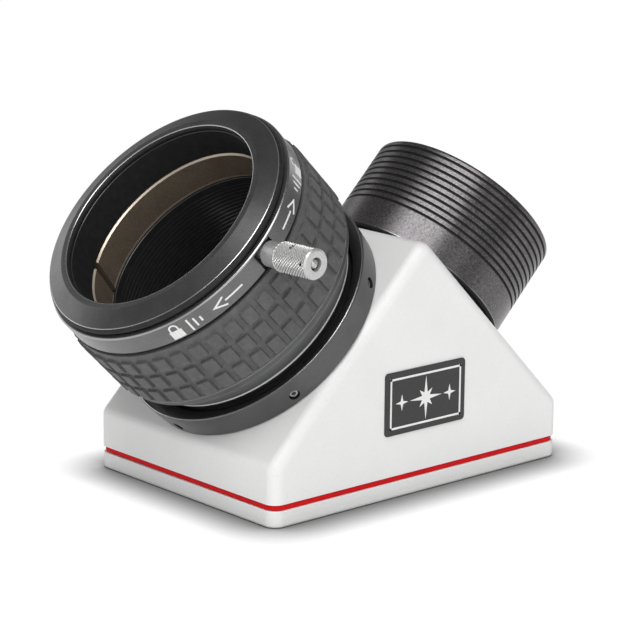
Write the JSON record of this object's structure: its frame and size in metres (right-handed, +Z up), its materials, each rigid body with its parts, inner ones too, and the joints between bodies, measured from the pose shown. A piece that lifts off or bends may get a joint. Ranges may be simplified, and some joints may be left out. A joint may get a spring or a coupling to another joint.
{
  "type": "star diagonal",
  "caption": "Right-angle mirror diagonal for a telescope, with a two-inch nosepiece, a twist-lock eyepiece clamp with a lever and rubber grip, and a flat mirror on its base plate.",
  "frame": {"origin": "centre of the base plate's flat underside", "axes": "+X along the base from the eyepiece clamp's side to the nosepiece's side, in the plane of both port axes; +Z up, square off the underside; the eyepiece port's axis is (-1, 0, 1)/sqrt(2), the nosepiece's is (1, 0, 1)/sqrt(2), and the lever points along -Y at rest"},
  "size_m": [0.1384, 0.0842, 0.0915],
  "materials": {
    "white_coat": "fine white powder coat",
    "red_seal": "satin red",
    "mirror_coating": "front-coated glass",
    "pad_rubber": "soft",
    "steel": "black-grey steel",
    "badge": "dark printed plate",
    "black_anodised": "satin black anodised",
    "nosepiece_anodised": "fine grained dark anodised",
    "brass": "dull bronze-brown brass",
    "glide_plastic": "plain",
    "grip_rubber": "moulded squares",
    "bright_aluminium": "bright, knurled"
  },
  "bodies": {
    "housing_body": {"housing": "white_coat", "base_plate": "white_coat", "red_seal": "red_seal", "mirror": "mirror_coating", "mirror_pad_1": "pad_rubber", "mirror_pad_2": "pad_rubber", "mirror_pad_3": "pad_rubber", "base_screw_1": "steel", "base_screw_2": "steel", "base_screw_3": "steel", "base_screw_4": "steel", "badge_plate": "badge", "nosepiece_adapter": "black_anodised", "nosepiece": "nosepiece_anodised", "clamp_flange": "black_anodised", "flange_grub_screw_1": "steel", "flange_grub_screw_2": "steel", "flange_grub_screw_3": "steel", "flange_grub_screw_4": "steel", "flange_grub_screw_5": "steel", "flange_grub_screw_6": "steel"},
    "clamp": {"clamp_body": "black_anodised", "brass_clamp_ring": "brass", "front_ring": "black_anodised", "glide_ring_front": "glide_plastic", "glide_ring_rear": "glide_plastic"},
    "grip": {"grip_ring": "black_anodised", "rubber_grip": "grip_rubber", "lever_pin": "bright_aluminium"},
    "roller_1": {"clamp_roller_1": "steel"},
    "roller_2": {"clamp_roller_2": "steel"},
    "roller_3": {"clamp_roller_3": "steel"}
  },
  "joints": [
    {"name": "clamp_swivel", "type": "hinge", "parent": "housing_body", "child": "clamp", "pos_m": [-0.02333, 0, 0.03901], "axis": [-0.7071, 0, 0.7071], "continuous": true},
    {"name": "grip_turn", "type": "hinge", "parent": "clamp", "child": "grip", "pos_m": [-0.02333, 0, 0.03901], "axis": [0.7071, 0, -0.7071], "range_deg": [0, 35]},
    {"name": "roller_1_slide", "type": "slide", "parent": "clamp", "child": "roller_1", "axis": [-0.6124, 0.5, -0.6124], "range_m": [0, 0.0006]},
    {"name": "roller_2_slide", "type": "slide", "parent": "clamp", "child": "roller_2", "axis": [0, -1, 0], "range_m": [0, 0.0006]},
    {"name": "roller_3_slide", "type": "slide", "parent": "clamp", "child": "roller_3", "axis": [0.6124, 0.5, 0.6124], "range_m": [0, 0.0006]}
  ],
  "couplings": [
    {"joint": "roller_1_slide", "follows": "grip_turn", "m_per_rad": 0.00098},
    {"joint": "roller_2_slide", "follows": "grip_turn", "m_per_rad": 0.00098},
    {"joint": "roller_3_slide", "follows": "grip_turn", "m_per_rad": 0.00098}
  ]
}
